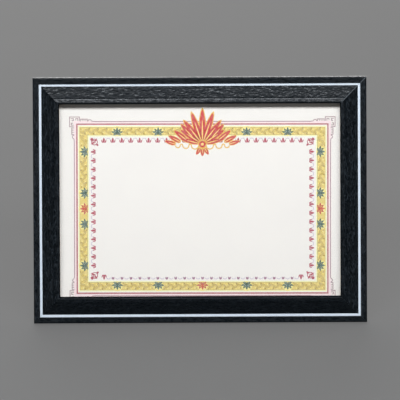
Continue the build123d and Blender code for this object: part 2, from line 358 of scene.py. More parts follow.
def black_stain(name, upright, roughness):
    """Black stain over open grain: satin between the pores, dull in them, paler in thin lines that are rubbed wear
    and, most of all on the uprights, a painted highlight of grain catching the light.
    """
    material, tree, inputs = new_material(name, Specular_IOR_Level=0.16)
    pores = mottle(tree, grain_stretch(upright, across=1.2, along=3.2), detail=2, contrast=6)
    fine = mottle(tree, grain_stretch(upright, across=0.35, along=2.5), detail=3, contrast=2.4)
    # thin pale lines: rubbed wear, and partly a painted highlight of grain catching the light
    rubbed_and_sheen_lines = scratches(tree, grain_stretch(upright, across=3.0, along=16.0), amount=0.03)
    rubbed_and_sheen_share = ranged(tree, rubbed_and_sheen_lines, 0, UPRIGHT_RUBBED_AND_SHEEN if upright else LEVEL_RUBBED_AND_SHEEN)
    stain = mixed(tree, fine, *STAIN_TONES)
    feed(
        tree,
        inputs,
        Base_Color=mixed(tree, rubbed_and_sheen_share, stain, STAIN_RUBBED_AND_SHEEN),
        Roughness=ranged(tree, pores, *roughness),
        Normal=bumped(tree, fine, depth=0.004),
    )
    return material


def sight_stain():
    """The sawn edge above the glass, which takes the stain flat."""
    material, tree, inputs = new_material("Black_stain_sight_edge", Specular_IOR_Level=0.05)
    cloud = mottle(tree, (2, 2, 2), detail=3, contrast=2)
    feed(
        tree,
        inputs,
        Base_Color=mixed(tree, cloud, *SIGHT_TONES),
        Roughness=ranged(tree, cloud, 0.75, 0.9),
    )
    return material


def worn_stain():
    """Stain knocked off along the edges of a mitre, with the filler showing."""
    material, tree, inputs = new_material("Worn_mitre", Specular_IOR_Level=0.2)
    patchy = mottle(tree, (1.6, 1.6, 1.6), detail=3, contrast=3)
    feed(
        tree,
        inputs,
        Base_Color=mixed(tree, patchy, *FILLER_TONES),
        Roughness=ranged(tree, patchy, 0.5, 0.65),
    )
    return material


def bare_wood(name, upright):
    """The moulding's unstained back: sawn softwood with stain soaked in here and there."""
    material, tree, inputs = new_material(name, Specular_IOR_Level=0.3)
    rings = mottle(tree, grain_stretch(upright, across=1.6, along=60.0), detail=3, contrast=2.6)
    fibre = mottle(tree, grain_stretch(upright, across=0.25, along=4.0), detail=3, contrast=2)
    soaked = mottle(tree, (26, 26, 26), detail=4, contrast=5)
    wood = mixed(tree, rings, *WOOD_RINGS)
    sawn = mixed(tree, ranged(tree, fibre, 0, 0.4), wood, WOOD_FIBRE)
    feed(
        tree,
        inputs,
        Base_Color=mixed(tree, ranged(tree, soaked, 0, 0.55), sawn, WOOD_SOAKED),
        Roughness=ranged(tree, fibre, 0.62, 0.8),
        Normal=bumped(tree, fibre, depth=0.06),
    )
    return material


def white_line():
    """The inlaid strip: cool white plastic, satin, with a little handling grime."""
    material, tree, inputs = new_material(
        "White_line", Subsurface_Weight=0.5, Subsurface_Radius=(1, 1, 1), Subsurface_Scale=0.0015
    )
    grime = mottle(tree, (14, 14, 14), detail=4, contrast=2.5)
    feed(
        tree,
        inputs,
        Base_Color=mixed(tree, grime, *LINE_TONES),
        Roughness=ranged(tree, grime, 0.38, 0.5),
    )
    return material


def clear_glass():
    """Window glass with a faint film that softens its reflections here and there."""
    material, tree, inputs = new_material(
        "Clear_glass", Transmission_Weight=1.0, IOR=1.5, Base_Color=GLASS_TINT
    )
    film = mottle(tree, (40, 40, 40), detail=3, contrast=1.5)
    feed(tree, inputs, Roughness=ranged(tree, film, 0.0, 0.02))
    return material


def paper():
    """Coated certificate paper: a warm white with faint fibre."""
    material, tree, inputs = new_material("Certificate_paper", Specular_IOR_Level=0.3)
    cloud = mottle(tree, (30, 30, 30), detail=4, contrast=1.6)
    fibre = mottle(tree, (0.8, 0.8, 0.8), detail=3, contrast=1.6)
    feed(
        tree,
        inputs,
        Base_Color=mixed(tree, cloud, *PAPER_TONES),
        Roughness=ranged(tree, fibre, 0.6, 0.75),
        Normal=bumped(tree, fibre, depth=0.004),
    )
    return material


def ink(name, colour):
    """A printed ink that lies a little unevenly and fades towards the paper in patches."""
    material, tree, inputs = new_material(f"Ink_{name}", Specular_IOR_Level=0.3)
    patchy = mottle(tree, (2.2, 2.2, 2.2), detail=3, contrast=3)
    base = linear(*colour)
    faded = (*[channel + (INK_GROUND - channel) * INK_FADE for channel in base[:3]], 1)
    feed(
        tree,
        inputs,
        Base_Color=mixed(tree, patchy, base, faded),
        Roughness=ranged(tree, patchy, 0.5, 0.65),
    )
    return material


def fibreboard():
    """Pressed fibreboard: warm brown, felted fibres, darker specks and a slight sheen."""
    material, tree, inputs = new_material("Fibreboard", Specular_IOR_Level=0.35)
    cloud = mottle(tree, (34, 34, 34), detail=4, contrast=2)
    felt = mottle(tree, (0.9, 0.9, 0.9), detail=5, contrast=2.6)
    specks = scratches(tree, (3.2, 3.2, 3.2), amount=0.03)
    ground = mixed(tree, cloud, *BOARD_TONES)
    felted = mixed(tree, felt, ground, BOARD_FELT)
    feed(
        tree,
        inputs,
        Base_Color=mixed(tree, ranged(tree, specks, 0, 0.5), felted, BOARD_SPECKS),
        Roughness=ranged(tree, felt, 0.55, 0.72),
        Normal=bumped(tree, felt, depth=0.05),
    )
    return material


def steel(name, bright, dull, smooth, rough):
    """Plated steel: rolled lines, dulled patches and a few scratches."""
    material, tree, inputs = new_material(name, Metallic=1.0)
    cloud = mottle(tree, (7, 7, 7), detail=4, contrast=2.4)
    rolled = mottle(tree, (0.25, 3.0, 6.0), detail=3, contrast=2)
    marks = scratches(tree, (1.4, 2.4, 9.0), amount=0.02)
    plate = mixed(tree, cloud, linear(*bright), linear(*dull))
    feed(
        tree,
        inputs,
        Base_Color=mixed(tree, ranged(tree, marks, 0, 0.5), plate, STEEL_MARKS),
        Roughness=ranged(tree, cloud, smooth, rough),
        Normal=bumped(tree, rolled, depth=0.012),
    )
    return material


LEVEL_STAIN = black_stain("Black_stain_level", upright=False, roughness=SATIN)
UPRIGHT_STAIN = black_stain("Black_stain_upright", upright=True, roughness=SATIN)
LEVEL_RIDGE = black_stain("Polished_ridge_level", upright=False, roughness=POLISH)
UPRIGHT_RIDGE = black_stain("Polished_ridge_upright", upright=True, roughness=POLISH)
SIGHT_STAIN = sight_stain()
WORN_STAIN = worn_stain()
LEVEL_BARE = bare_wood("Bare_back_level", upright=False)
UPRIGHT_BARE = bare_wood("Bare_back_upright", upright=True)
WHITE_LINE = white_line()
CLEAR_GLASS = clear_glass()
PAPER = paper()
FIBREBOARD = fibreboard()
ZINC = steel("Zinc_plate", bright=(160, 161, 158), dull=(122, 123, 121), smooth=0.42, rough=0.58)
BRIGHT_STEEL = steel("Bright_steel", bright=(205, 205, 203), dull=(172, 172, 171), smooth=0.24, rough=0.36)


# Mouldings
def moulding_section():
    """The section on x = 0 as a ring of edges, fine enough across the front for its grain."""
    corners = [
        (0, 0, 0),
        (0, OUTER_LIP_HEIGHT, OUTER_EDGE_RADIUS),
        (OUTER_LIP_WIDTH, OUTER_LIP_HEIGHT, LIP_EDGE_RADIUS),
        (OUTER_LIP_WIDTH, INLAY_SEAT_HEIGHT, 0),
        (GROOVE_INNER, INLAY_SEAT_HEIGHT, 0),
        (GROOVE_INNER, FACE_START_HEIGHT, FACE_EDGE_RADIUS),
        (RIDGE_INSET, RIDGE_HEIGHT, RIDGE_RADIUS),
        (FACE_WIDTH, NOSE_HEIGHT, NOSE_RADIUS),
        (FACE_WIDTH, RABBET_DEPTH, 0),
        (RABBET_INSET, RABBET_DEPTH, 0),
        (RABBET_INSET, 0, 0),
    ]
    bm = bmesh.new()
    ring = [bm.verts.new((0, -forward, inward)) for inward, forward, _ in corners]
    bm.faces.new(ring)
    for corner, (_, _, radius) in zip(ring, corners):
        if radius:
            first, second = (edge.other_vert(corner).co - corner.co for edge in corner.link_edges)
            reach = radius * tan((pi - first.angle(second)) / 2)
            bmesh.ops.bevel(
                bm,
                geom=[corner],
                offset=reach,
                offset_type="OFFSET",
                affect="VERTICES",
                segments=ROUND_STEPS,
                profile=0.5,
                material=-1,
            )
    bmesh.ops.delete(bm, geom=bm.faces[:], context="FACES_ONLY")
    for edge in bm.edges[:]:
        front = max(-vert.co.y for vert in edge.verts) > RABBET_DEPTH
        cuts = int(edge.calc_length() / GRAIN_ACROSS)
        if front and cuts:
            bmesh.ops.subdivide_edges(bm, edges=[edge], cuts=cuts)
    return bm


def grain_depth(along, across, seed):
    """How deep the open grain is cut at a point of the moulding, from 0 to 1."""
    sway = noise.noise((along / SWAY_LENGTH, across / SWAY_WIDTH, seed))
    streak = noise.noise((along / STREAK_LENGTH, across / STREAK_WIDTH + SWAY * sway, seed + STREAK_SEED))
    return (1 + streak) / 2


def grain_share(inward):
    """The depth of the grain at a distance inward from the outer edge: slight, full, then slight again."""
    on_face = min(1, max(0, (inward - OUTER_LIP_WIDTH) / GRAIN_CHANGE))
    past_ridge = min(1, max(0, (inward - RIDGE_INSET + GRAIN_CHANGE) / GRAIN_CHANGE))
    return LIP_GRAIN + (FACE_GRAIN - LIP_GRAIN) * on_face + (LAND_GRAIN - FACE_GRAIN) * past_ridge


def cut_grain(bm, seed):
    """Sinks the grain into every face that shows from the front or from outside."""
    bm.normal_update()
    moves = []
    for vert in bm.verts:
        forward, inward = -vert.co.y, vert.co.z
        in_rabbet = forward < RABBET_DEPTH + GRAIN_ACROSS and inward > RABBET_INSET - GRAIN_ACROSS
        fade = min(1, max(0, (forward - GRAIN_START) / GRAIN_FADE))
        if fade and not in_rabbet:
            depth = fade * grain_share(inward) * grain_depth(vert.co.x, inward - forward, seed)
            moves.append((vert, vert.normal * depth))
    for vert, move in moves:
        vert.co -= move


def wear_mitre(bm, end, length):
    """Breaks the front edge of a mitre, where the stain is knocked off."""
    mitre = Vector((end * (length / 2 - MITRE_GAP), 0, 0))
    outward = Vector((end, 0, 1)).normalized()
    bmesh.ops.bisect_plane(
        bm,
        geom=bm.verts[:] + bm.edges[:] + bm.faces[:],
        plane_co=mitre - outward * WORN_WIDTH,
        plane_no=outward,
    )
    for face in bm.faces:
        beside = -WORN_WIDTH < (face.calc_center_median() - mitre).dot(outward) < -TOUCHING
        if beside and face.normal.y < WORN_FACING:
            face.material_index = WORN
    for vert in bm.verts:
        on_mitre = (vert.co - mitre).dot(outward) > -TOUCHING
        if on_mitre and -vert.co.y > RABBET_DEPTH + WORN_WIDTH:
            vert.co.y += WORN_DEPTH


def mitred_moulding(length, seed, worn_end):
    """One moulding on the bottom side: the section drawn out, grained, and mitred at both ends."""
    bm = moulding_section()
    steps = int(length / GRAIN_ALONG)
    bmesh.ops.translate(bm, vec=(-length / 2, 0, 0), verts=bm.verts)
    bmesh.ops.spin(
        bm,
        geom=bm.verts[:] + bm.edges[:],
        cent=(0, 0, 0),
        axis=(1, 0, 0),
        dvec=(length / steps, 0, 0),
        angle=0,
        steps=steps,
        use_merge=False,
        use_duplicate=False,
    )
    bmesh.ops.recalc_face_normals(bm, faces=bm.faces)
    cut_grain(bm, seed)
    for end in (-1, 1):
        cut = bmesh.ops.bisect_plane(
            bm,
            geom=bm.verts[:] + bm.edges[:] + bm.faces[:],
            plane_co=(end * (length / 2 - MITRE_GAP), 0, 0),
            plane_no=(end, 0, 1),
            clear_outer=True,
        )
        rim = [item for item in cut["geom_cut"] if isinstance(item, bmesh.types.BMEdge)]
        bmesh.ops.edgeloop_fill(bm, edges=rim)
        if end == worn_end:
            wear_mitre(bm, end, length)
    return bm


def on_side(side):
    """Carries what is drawn on the bottom side round the frame to the named side."""
    reach = of_side(side, (MIDDLE_HEIGHT, OUTER_WIDTH / 2))
    turn = Matrix.Rotation(radians(SIDES[side]), 4, "Y")
    return Matrix.Translation((0, 0, MIDDLE_HEIGHT)) @ turn @ Matrix.Translation((0, 0, -reach))


def on_ridge(point):
    return abs(point.z - RIDGE_INSET) < POLISHED_WIDTH and -point.y > RABBET_DEPTH


def make_moulding(side, seed):
    """One moulding with its finishes laid on face by face, in the place of its solid."""
    bm = mitred_moulding(of_side(side, (OUTER_WIDTH, OUTER_HEIGHT)), seed, WORN_ENDS.get(side, 0))
    bm.normal_update()
    for face in bm.faces:
        foremost = max(-vert.co.y for vert in face.verts)
        at_back = foremost < GRAIN_START
        in_rabbet = foremost < RABBET_DEPTH + TOUCHING and face.normal.y > FRONT_FACING
        if (at_back or in_rabbet) and face.normal.z > OUTSIDE_FACING:
            face.material_index = BARE
        elif face.normal.z > SIGHT_FACING and min(vert.co.z for vert in face.verts) > RIDGE_INSET:
            face.material_index = SIGHT_EDGE
        elif face.material_index == STAINED and on_ridge(face.calc_center_median()):
            face.material_index = POLISHED
    bmesh.ops.transform(bm, matrix=on_side(side), verts=bm.verts)
    stain = of_side(side, (LEVEL_STAIN, UPRIGHT_STAIN))
    bare = of_side(side, (LEVEL_BARE, UPRIGHT_BARE))
    ridge = of_side(side, (LEVEL_RIDGE, UPRIGHT_RIDGE))
    name = MOULDINGS[side]
    finished(f"grained_{name}", bm, [stain, bare, SIGHT_STAIN, WORN_STAIN, ridge], [name])


for number, side in enumerate(SIDES):
    make_moulding(side, SEED_STEP * number)


# Glass, nails and boards
GLASS_SLACK = 0.08  # kept clear of the print and the rabbet's lip
GLASS_EDGE = 0.25
NAIL_LEG = 6.0
NAIL_THICKNESS = 0.5
NAIL_SINK = 6.8
NAIL_PROUD = 0.12
NAIL_INSETS = (6.0, 12.0)
BOARD_EDGE = 0.35
MERGE_DISTANCE = 1e-6  # metres, joins the solid's loose triangles
FLAT_BEND = radians(1)  # triangles that bend by less are one face
SHARP_BEND = radians(40)  # edges that bend by more are eased


def make_glass():
    """The glazing: a sheet with its edges ground."""
    size = glazing_high - glazing_low
    size.y -= 2 * GLASS_SLACK
    middle = (glazing_low + glazing_high) / 2
    bm = bmesh.new()
    add_box(bm, middle, size)
    bmesh.ops.bevel(
        bm, geom=bm.edges[:], offset=GLASS_EDGE, affect="EDGES", segments=2, profile=0.5, material=-1
    )
    sheet = finished("glass_sheet", bm, [CLEAR_GLASS], ["glazing"], smooth=FLAT_SHADED)
    sheet.visible_shadow = False
    sheet.visible_diffuse = False


def make_nails():
    """Two L-shaped nails over each mitre, standing a hair proud of the bare wood."""
    bm = bmesh.new()
    for across, up, inset in product((-1, 1), (-1, 1), NAIL_INSETS):
        x = across * (OUTER_WIDTH / 2 - inset)
        z = MIDDLE_HEIGHT + up * (MIDDLE_HEIGHT - inset)
        for wide, high in ((NAIL_LEG, NAIL_THICKNESS), (NAIL_THICKNESS, NAIL_LEG)):
            middle = (x - across * wide / 2, (NAIL_PROUD - NAIL_SINK) / 2, z - up * high / 2)
            add_box(bm, middle, (wide, NAIL_SINK + NAIL_PROUD, high))
    finished("corner_nail_strips", bm, [BRIGHT_STEEL], ["corner_nails"])


def make_board(node, name, body):
    """A fibreboard panel: a copy of its solid with the sharp edges eased, in the solid's place."""
    bm = bmesh.new()
    bm.from_mesh(NODES[node].data)
    bmesh.ops.remove_doubles(bm, verts=bm.verts, dist=MERGE_DISTANCE)
    bmesh.ops.dissolve_limit(bm, angle_limit=FLAT_BEND, verts=bm.verts, edges=bm.edges)
    sharp = [edge for edge in bm.edges if edge.is_manifold and edge.calc_face_angle() > SHARP_BEND]
    bmesh.ops.bevel(
        bm,
        geom=sharp,
        offset=BOARD_EDGE / 1000,
        affect="EDGES",
        segments=2,
        profile=0.5,
        material=-1,
        clamp_overlap=True,
    )
    finished(name, bm, [FIBREBOARD], [node], body, Matrix.Identity(4), FLAT_SHADED)


make_glass()
make_nails()
make_board("backboard", "fibre_backboard", "frame")
make_board("easel_strut", "fibre_strut", "strut")

# Finishes of the solids that show as they are
SOLID_FINISHES = {
    "white_line": WHITE_LINE,
    "certificate": PAPER,
    "plated_steel": ZINC,
    "fastener_steel": BRIGHT_STEEL,
}
for subpart in frame["record"]["subparts"]:
    finish = SOLID_FINISHES.get(subpart["material_slot"])
    solid = NODES[subpart["node"]]
    if finish and not solid.hide_render:
        solid.data.materials.clear()
        solid.data.materials.append(finish)

# Printed border of the certificate, millimetres on the sheet from its centre, x right and y up
PRINT_CENTRE = (2.5, -9.2)
PRINT_TURN = -0.2  # degrees that the print is turned on its sheet
RED_LINE = (129.4, 87.7)  # half width and half height to the line's outer edge
RED_LINE_WIDTH = 1.4
THIN_LINE = (131.4, 89.7)  # to the thin line's middle
THIN_LINE_WIDTH = 0.8
THIN_LINE_ENDS = (110.0, 68.0)  # pairs by side are for level sides first, then for upright ones
THIN_LINE_KNOB = 0.55
KNOB_SIDES = 8
TINT_PAST = 0.6  # the pink tint reaches this far out of the thin line
TINT_GAP = 0.2  # and ends this far from the red line
BAND = (126.0, 83.9)
BAND_WIDTH = 8.2
BAND_LINE_WIDTH = 0.35
HALO = 1.3
FLORET_LINE = (112.4, 70.8)
FLORET_ROWS = (23, 14)
FLORET_STEPS = (9.19, 9.0)
LOTUS_LINE = (121.9, 79.8)
LOTUS_PLACES = ((-87.5, -45.4, 45.4, 87.5), (-58.6, -16.0, 16.0, 58.6))
ROUNDEL = (110.7, 68.7)
INK_THICKNESS = 0.006
LAYER_STEP = 0.01
PETAL_SIDES = 10
HALF_STEPS = 8  # steps in a half circle
PETAL_FOOT = 1.3  # how full a petal is towards its foot, as a share of its middle
PETAL_TAPER = 0.6  # what that share loses up to the tip
SIDE_TURNS = {"top": 0, "right": -90, "bottom": 180, "left": 90}  # degrees round the sheet from the top
BOTH_HALVES = tuple(Matrix.Diagonal((side, 1, 1, 1)) for side in (-1, 1))  # mirrored, and as drawn
ON_SHEET = (
    Matrix.Translation((0, PAPER_FRONT, MIDDLE_HEIGHT))
    @ Matrix.Rotation(pi / 2, 4, "X")
    @ Matrix.Translation((*PRINT_CENTRE, 0))
    @ Matrix.Rotation(radians(PRINT_TURN), 4, "Z")
)

INKS = {  # layer on the sheet and colour
    "pink_tint": (0, (253, 226, 224)),
    "pale_yellow": (0, (254, 247, 186)),
    "gold": (1, (234, 205, 110)),
    "dark_gold": (2, (176, 138, 54)),
    "light_gold": (2, (255, 236, 146)),
    "thin_rose": (1, (166, 124, 126)),
    "red_line": (1, (184, 86, 86)),
    "lilac": (1, (204, 182, 200)),
    "crimson": (2, (180, 50, 72)),
    "mauve": (2, (164, 108, 130)),
    "teal": (5, (68, 96, 82)),
    "olive": (4, (74, 90, 62)),
    "pale_teal": (6, (186, 198, 184)),
    "orange": (5, (214, 78, 48)),
    "deep_orange": (4, (196, 62, 42)),
    "crest_gold": (3, (236, 184, 74)),
    "crest_red": (4, (206, 44, 38)),
    "crest_light": (6, (252, 214, 120)),
}
sheets = {name: bmesh.new() for name in INKS}


def moved(x, y, turn=0):
    return Matrix.Translation((x, y, 0)) @ Matrix.Rotation(radians(turn), 4, "Z")


def side_place(side, reach):
    """A place on one side of a border: x along the side, y outward, its origin at the side's middle."""
    half_width, half_height = reach
    return moved(0, 0, SIDE_TURNS[side]) @ moved(0, of_side(side, (half_height, half_width)))


def leaning(turn, reach):
    """The point at a distance from the origin on a line that leans from +y, clockwise, in degrees."""
    return Vector((sin(radians(turn)), cos(radians(turn)))) * reach


def widened(reach, margin):
    return (reach[0] + margin, reach[1] + margin)


def stroke(ink_name, place, start, end, width):
    """A straight stroke between two points."""
    start, end = Vector(start), Vector(end)
    run = end - start
    middle = (start + end) / 2
    turn = Matrix.Rotation(-Vector((1, 0)).angle_signed(run), 4, "Z")
    matrix = place @ moved(*middle) @ turn @ Matrix.Diagonal((run.length, width, 1, 1))
    bmesh.ops.create_grid(sheets[ink_name], x_segments=1, y_segments=1, size=0.5, matrix=matrix)


def key_stroke(ink_name, place, points, width):
    """Square-cornered strokes through the points, butted so that none overlaps the next."""
    points = [Vector(point) for point in points]
    for number in range(len(points) - 1):
        start, end = points[number], points[number + 1]
        step = (end - start).normalized() * width / 2
        first = start - step if number == 0 else start + step
        stroke(ink_name, place, first, end + step, width)


def arc(ink_name, place, centre, radius, width, start, sweep, steps):
    """A curved stroke: a short edge across the line, spun round the centre. Angles in degrees."""
    bm = sheets[ink_name]
    middle = Vector((*centre, 0))
    out = Vector((cos(radians(start)), sin(radians(start)), 0))
    ends = [bm.verts.new(place @ (middle + out * (radius + side * width / 2))) for side in (-1, 1)]
    across = bm.edges.new(ends)
    mirrored = place.determinant() < 0
    bmesh.ops.spin(
        bm,
        geom=[*ends, across],
        cent=place @ middle,
        axis=(0, 0, 1),
        angle=radians(-sweep if mirrored else sweep),
        steps=steps,
        use_merge=False,
        use_duplicate=False,
    )


def disc(ink_name, place, centre, radius, sides):
    bmesh.ops.create_circle(
        sheets[ink_name], cap_ends=True, segments=sides, radius=radius, matrix=place @ moved(*centre)
    )


def petal(ink_name, place, foot, turn, length, width):
    """A pointed petal that grows from its foot; turn is its lean from +y, clockwise, in degrees."""
    made = bmesh.ops.create_circle(sheets[ink_name], cap_ends=True, segments=PETAL_SIDES, radius=1)
    matrix = place @ moved(*foot, -turn)
    for vert in made["verts"]:
        along = (vert.co.y + 1) / 2
        half_width = width / 2 * (PETAL_FOOT - PETAL_TAPER * along)
        vert.co = matrix @ Vector((vert.co.x * half_width, along * length, 0))


def ring(ink_name, reach, width):
    """A rectangular line round the sheet, to its outer edge."""
    bm = sheets[ink_name]
    made = bmesh.ops.create_grid(
        bm, x_segments=1, y_segments=1, size=1, matrix=Matrix.Diagonal((*reach, 1, 1))
    )
    face = made["verts"][0].link_faces[0]
    bmesh.ops.inset_region(bm, faces=[face], thickness=width, use_boundary=True, use_even_offset=True)
    bmesh.ops.delete(bm, geom=[face], context="FACES_ONLY")


def draw_lines():
    """The red line, the thin line outside it, and the tints between the lines and round the band."""
    ring("red_line", RED_LINE, RED_LINE_WIDTH)
    ring("pink_tint", widened(THIN_LINE, TINT_PAST), THIN_LINE[0] + TINT_PAST - RED_LINE[0] - TINT_GAP)
    ring("pale_yellow", widened(BAND, HALO), BAND_WIDTH + 2 * HALO)
    ring("gold", BAND, BAND_WIDTH)
    for edge in (BAND, widened(BAND, BAND_LINE_WIDTH - BAND_WIDTH)):
        ring("dark_gold", edge, BAND_LINE_WIDTH)
    for side in SIDE_TURNS:
        half = of_side(side, THIN_LINE_ENDS)
        place = side_place(side, THIN_LINE)
        stroke("thin_rose", place, (-half, 0), (half, 0), THIN_LINE_WIDTH)
        for end in (-half, half):
            disc("thin_rose", place, (end, 0), THIN_LINE_KNOB, KNOB_SIDES)


# Key fret, from the corner of the thin line: x along one arm, y outward
FRET_REACH = 4.7  # the key corner stands this far out of the thin line
FRET_HOOK = ((-5.3, FRET_REACH), (-5.3, 1.0))  # where the outer stroke turns and ends
FRET_KEY = ((-3.7, 1.0), (-3.7, 3.0), (-1.6, 3.0), (-1.6, 1.6))
FRET_COMB = ((-6.6, 0.6), (-6.6, 2.5), (-13.4, 2.5), (-13.4, 0.6))
FRET_TEETH = (-8.8, -11.1)
FRET_TOOTH = (2.0, 0.6)  # from and to
FRET_LOOP = ((-15.9, 0.3), 1.7)  # centre and radius
FRET_TAIL = ((-18.0, 0.3), (-21.0, 0))
FRET_EYE = ((3.0, 3.0), (0.9, 3.0), (0.9, 0.9), (2.4, 0.9))


def draw_key_corner(across, up):
    """The key fret outside one corner of the thin line, the same along both of its arms."""
    corner = Matrix.Diagonal((across, up, 1, 1)) @ Matrix.Translation((*THIN_LINE, 0))
    swapped = Matrix(((0, 1, 0, 0), (1, 0, 0, 0), (0, 0, 1, 0), (0, 0, 0, 1)))
    width = THIN_LINE_WIDTH
    for place, start in ((corner, FRET_REACH), (corner @ swapped, FRET_REACH - width)):
        for points in (((start, FRET_REACH), *FRET_HOOK), FRET_KEY, FRET_COMB):
            key_stroke("thin_rose", place, points, width)
        for tooth in FRET_TEETH:
            stroke("thin_rose", place, *[(tooth, end) for end in FRET_TOOTH], width)
        arc("thin_rose", place, *FRET_LOOP, width, 0, 180, HALF_STEPS)
        stroke("thin_rose", place, *FRET_TAIL, width)
    key_stroke("thin_rose", corner, FRET_EYE, width)


# Florets: a petal's foot, lean, length and width; a stroke's ends and width; an arc's centre, radius,
# width, start, sweep and steps
FLORET_BUD = ((0, -2.1), 0, 4.4, 2.2)
FLORET_CURL = ((1.4, -2.2), 28, 2.6, 1.1)
FLORET_BAR = ((-2.1, -2.3), (2.1, -2.3), 0.9)
FLORET_LINK = ((0, -0.5), 2.2, 0.6, 20, 140, 6)
HEART_HALF = ((0, 2.2), 158, 3.1, 1.6)


def draw_floret(at):
    """A slender bud between two curls, standing on a bar."""
    petal("crimson", at, *FLORET_BUD)
    stroke("crimson", at, *FLORET_BAR)
    for half in BOTH_HALVES:
        petal("crimson", at @ half, *FLORET_CURL)


def draw_heart(at):
    """A small heart with its tip outward."""
    for half in BOTH_HALVES:
        petal("mauve", at @ half, *HEART_HALF)


def draw_florets():
    """The rows inside the band, linked by faint loops: hearts along the bottom, florets elsewhere."""
    for side in SIDE_TURNS:
        count = of_side(side, FLORET_ROWS)
        step = of_side(side, FLORET_STEPS)
        place = side_place(side, FLORET_LINE)
        for number in range(count):
            x = (number - (count - 1) / 2) * step
            if side == "bottom" and 0 < number < count - 1:
                draw_heart(place @ moved(x, 0))
            else:
                draw_floret(place @ moved(x, 0))
            if number:
                arc("lilac", place @ moved(x - step / 2, 0), *FLORET_LINK)


LOTUS_BASE = (0, -2.5)
LOTUS_MIDDLE = (0, 6.3, 2.5)  # lean, length and width
LOTUS_PETALS = ((36, 6.4, 2.3), (70, 6.3, 2.3), (112, 4.4, 2.0))  # the same beside the middle one
LOTUS_HALO = 5.2
HALO_SIDES = 12
VEIN_WIDTH = 0.5
VEIN_REACH = (0.3, 0.6)  # where a vein starts and ends, as shares of its petal


def draw_lotus(place, middle, side_ink, light):
    """A lotus seen from the side: a middle petal, and three on each side of it with pale veins."""
    disc("light_gold", place, (0, 0), LOTUS_HALO, HALO_SIDES)
    for half in BOTH_HALVES:
        for lean, length, width in LOTUS_PETALS:
            petal(side_ink, place @ half, LOTUS_BASE, lean, length, width)
            vein = [Vector(LOTUS_BASE) + leaning(lean, length * share) for share in VEIN_REACH]
            stroke(light, place @ half, *vein, VEIN_WIDTH)
    petal(middle, place, LOTUS_BASE, *LOTUS_MIDDLE)


def draw_lotuses():
    """Green lotuses along the band, and an orange one in the middle of each side but the top."""
    for side in SIDE_TURNS:
        place = side_place(side, LOTUS_LINE)
        for x in of_side(side, LOTUS_PLACES):
            draw_lotus(place @ moved(x, 0), "teal", "olive", "pale_teal")
        if side != "top":
            draw_lotus(place, "orange", "deep_orange", "crest_light")


SCROLL_RADIUS = 2.0  # the least radius of a wave of the stem
SCROLL_MARGIN = 1.0  # kept free at the ends of the level sides
SCROLL_ENDS = (BAND[0] - SCROLL_MARGIN, BAND[1] - BAND_WIDTH)  # reach from a side's middle
LEAST_STRETCH = 4 * SCROLL_RADIUS  # room for two waves
LOTUS_ROOM = 6.2
STEM_WIDTH = 0.5
STEM_STEPS = 7
CURL_CENTRE = (0.2, 0.1)
CURL_SHARE = 0.48  # of the wave's radius
CURL_STROKE = (0.45, -40, 250, 6)  # width, start, sweep and steps
SCROLL_LEAVES = (  # ink; foot, as a share of the wave's radius and a shift; lean, length and width
    ("light_gold", (0, 0), (-0.9, -1.0), (150, 1.9, 0.8)),
    ("dark_gold", (0.6, 1), (0, 0.3), (60, 2.2, 0.9)),
    ("dark_gold", (-0.5, 0), (0, -1.6), (-120, 2.0, 0.8)),
    ("light_gold", (-0.3, 1), (0, 0.5), (-70, 1.8, 0.7)),
)


def draw_scroll(place, start, end):
    """Scrollwork along a stretch of the band: a waving stem, curls inside it and leaves outside it."""
    count = int((end - start) / (2 * SCROLL_RADIUS))
    radius = (end - start) / (2 * count)
    for number in range(count):
        up = 1 if number % 2 else -1
        at = place @ moved(start + (2 * number + 1) * radius, 0) @ Matrix.Diagonal((1, up, 1, 1))
        arc("dark_gold", at, (0, 0), radius, STEM_WIDTH, 0, 180, STEM_STEPS)
        arc("dark_gold", at, CURL_CENTRE, radius * CURL_SHARE, *CURL_STROKE)
        for leaf_ink, share, shift, leaf in SCROLL_LEAVES:
            petal(leaf_ink, at, Vector(share) * radius + Vector(shift), *leaf)


def draw_scrolls():
    """Scrollwork in every stretch of the band between two lotuses, or a lotus and the band's end."""
    for side in SIDE_TURNS:
        place = side_place(side, LOTUS_LINE)
        marks = sorted([*of_side(side, LOTUS_PLACES), 0])
        half = of_side(side, SCROLL_ENDS)
        edges = [-half - LOTUS_ROOM, *marks, half + LOTUS_ROOM]
        for before, after in zip(edges, edges[1:]):
            start, end = before + LOTUS_ROOM, after - LOTUS_ROOM
            if end - start > LEAST_STRETCH:
                draw_scroll(place, start, end)


ROUNDEL_RINGS = (  # centre, radius, width, start, sweep and steps
    ((0, 0), 3.0, 0.8, 60, 330, 16),
    ((0.3, 0.3), 1.4, 0.7, 200, 270, 10),
)
ROUNDEL_LEAVES = (  # foot, lean, length and width
    ((1.6, 1.6), 20, 3.0, 1.7),
    ((1.6, 1.6), 45, 3.4, 1.7),
    ((1.6, 1.6), 70, 3.0, 1.7),
    ((-1.9, -1.9), 225, 3.0, 2.0),
    ((0, 0), -35, 4.4, 1.6),
    ((0, 0), 125, 4.4, 1.6),
)


def draw_roundel(across, up):
    """The ornament at an inner corner of the floret rows: rings with leaves on their diagonal."""
    place = moved(across * ROUNDEL[0], up * ROUNDEL[1]) @ Matrix.Diagonal((across, up, 1, 1))
    for line in ROUNDEL_RINGS:
        arc("crimson", place, *line)
    for leaf in ROUNDEL_LEAVES:
        petal("crimson", place, *leaf)


